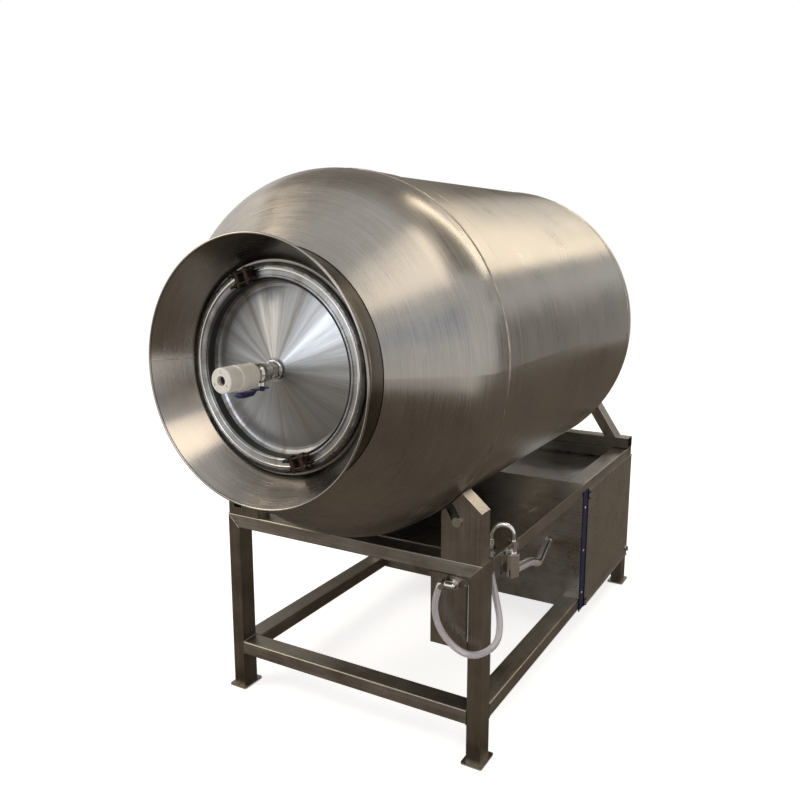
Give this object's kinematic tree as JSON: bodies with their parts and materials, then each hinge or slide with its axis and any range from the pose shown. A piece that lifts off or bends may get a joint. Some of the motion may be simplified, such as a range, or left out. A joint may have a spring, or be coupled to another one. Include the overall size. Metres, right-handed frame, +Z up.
{
  "type": "meat vacuum tumbler",
  "caption": "Stainless vacuum tumbler for meat: a lidded drum on two rollers and a rear bearing turns in a tube frame with a pump cabinet",
  "frame": {"origin": "On the floor under the middle of the machine's bounding box.", "axes": "+Z up. The drum's axis lies along Y, with the lid at -Y and the drive at +Y. +X is the side of the hoses and the cabinet door."},
  "size_m": [0.932, 1.863, 1.509],
  "materials": {
    "frame_tube": "satin ground stainless tube",
    "sheet_steel": "brushed stainless sheet",
    "drum_steel": "brushed stainless drum shell",
    "polished_steel": "polished stainless",
    "navy_paint": "dark blue gloss paint",
    "lever_paint": "dark blue dipped lever",
    "dark_polymer": "dark nylon roller",
    "white_nylon": "white turned nylon",
    "gasket_rubber": "black food grade rubber",
    "dark_bolts": "dark oiled steel bolts",
    "chrome_fitting": "bright plated fitting",
    "clear_hose": "clear reinforced hose",
    "drive_paint": "grey drive paint",
    "fan_plastic": "moulded fan"
  },
  "bodies": {
    "frame": {"leg_front_left": "frame_tube", "leg_front_right": "frame_tube", "leg_rear_left": "frame_tube", "leg_rear_right": "frame_tube", "foot_plates": "frame_tube", "rail_top_front": "frame_tube", "rail_top_rear": "frame_tube", "rail_top_left": "frame_tube", "rail_top_right": "frame_tube", "rail_low_front": "frame_tube", "rail_low_rear": "frame_tube", "rail_low_left": "frame_tube", "rail_low_right": "frame_tube", "rear_base_tube": "frame_tube", "upright_left": "frame_tube", "upright_right": "frame_tube", "bearing_plate": "frame_tube", "deck_sheet": "sheet_steel", "cabinet_front_panel": "sheet_steel", "cabinet_top_cover": "sheet_steel", "cabinet_rear_panel": "sheet_steel", "cabinet_left_panel": "sheet_steel", "cabinet_floor": "sheet_steel", "roller_housing_left": "sheet_steel", "roller_housing_right": "sheet_steel", "hose_box": "sheet_steel", "roller_axles": "polished_steel", "hose_elbow": "polished_steel", "bulkhead_fitting": "polished_steel", "door_post_strip": "navy_paint", "rail_coupling": "chrome_fitting", "filter_block": "chrome_fitting", "suction_hose": "clear_hose", "pump_hose": "clear_hose", "gearbox": "drive_paint", "drive_motor": "drive_paint", "bearing_block": "drive_paint", "vacuum_pump": "drive_paint"},
    "drum": {"drum_cylinder": "drum_steel", "track_band": "drum_steel", "front_head": "drum_steel", "rear_head": "drum_steel", "splash_collar": "drum_steel", "neck_ring": "drum_steel", "mixing_blades": "drum_steel", "drive_shaft": "polished_steel"},
    "lid": {"lid_plate": "drum_steel", "lid_gasket": "gasket_rubber", "clamp_ring": "polished_steel", "clamp_bolts": "dark_bolts", "valve_body": "polished_steel", "coupling_body": "white_nylon"},
    "valve_lever": {"valve_lever": "lever_paint"},
    "coupling_nose": {"coupling_nose": "white_nylon"},
    "roller_left": {"roller_left": "dark_polymer"},
    "roller_right": {"roller_right": "dark_polymer"},
    "motor_fan": {"motor_fan": "fan_plastic"},
    "side_door": {"side_door": "sheet_steel"},
    "door_latch": {"door_latch": "polished_steel"}
  },
  "joints": [
    {"name": "drum_spin", "type": "hinge", "parent": "frame", "child": "drum", "pos_m": [0, 0.2215, 1.043], "axis": [0, 1, 0], "continuous": true},
    {"name": "roller_left_spin", "type": "hinge", "parent": "frame", "child": "roller_left", "pos_m": [-0.33804, -0.4535, 0.65275], "axis": [0, 1, 0], "continuous": true},
    {"name": "roller_right_spin", "type": "hinge", "parent": "frame", "child": "roller_right", "pos_m": [0.33804, -0.4535, 0.65275], "axis": [0, 1, 0], "continuous": true},
    {"name": "motor_spin", "type": "hinge", "parent": "frame", "child": "motor_fan", "pos_m": [-0.3, 0.7735, 0.948], "axis": [1, 0, 0], "continuous": true},
    {"name": "lid_slide", "type": "slide", "parent": "drum", "child": "lid", "axis": [0, -1, 0], "range_m": [0, 0.25]},
    {"name": "valve_turn", "type": "hinge", "parent": "lid", "child": "valve_lever", "pos_m": [0, -0.798, 1.006], "axis": [0, 0, 1], "range_deg": [0, 90]},
    {"name": "coupling_swivel", "type": "hinge", "parent": "lid", "child": "coupling_nose", "pos_m": [0, -0.8985, 1.043], "axis": [0, 1, 0], "continuous": true},
    {"name": "side_door_hinge", "type": "hinge", "parent": "frame", "child": "side_door", "pos_m": [0.4152, 0.3725, 0.3], "axis": [0, 0, -1], "range_deg": [0, 100]},
    {"name": "door_latch_turn", "type": "hinge", "parent": "side_door", "child": "door_latch", "pos_m": [0.412, 0.9095, 0.133], "axis": [1, 0, 0], "range_deg": [0, 90]}
  ],
  "couplings": [
    {"joint": "roller_left_spin", "follows": "drum_spin", "ratio": -9.32},
    {"joint": "roller_right_spin", "follows": "drum_spin", "ratio": -9.32},
    {"joint": "motor_spin", "follows": "drum_spin", "ratio": 60}
  ]
}
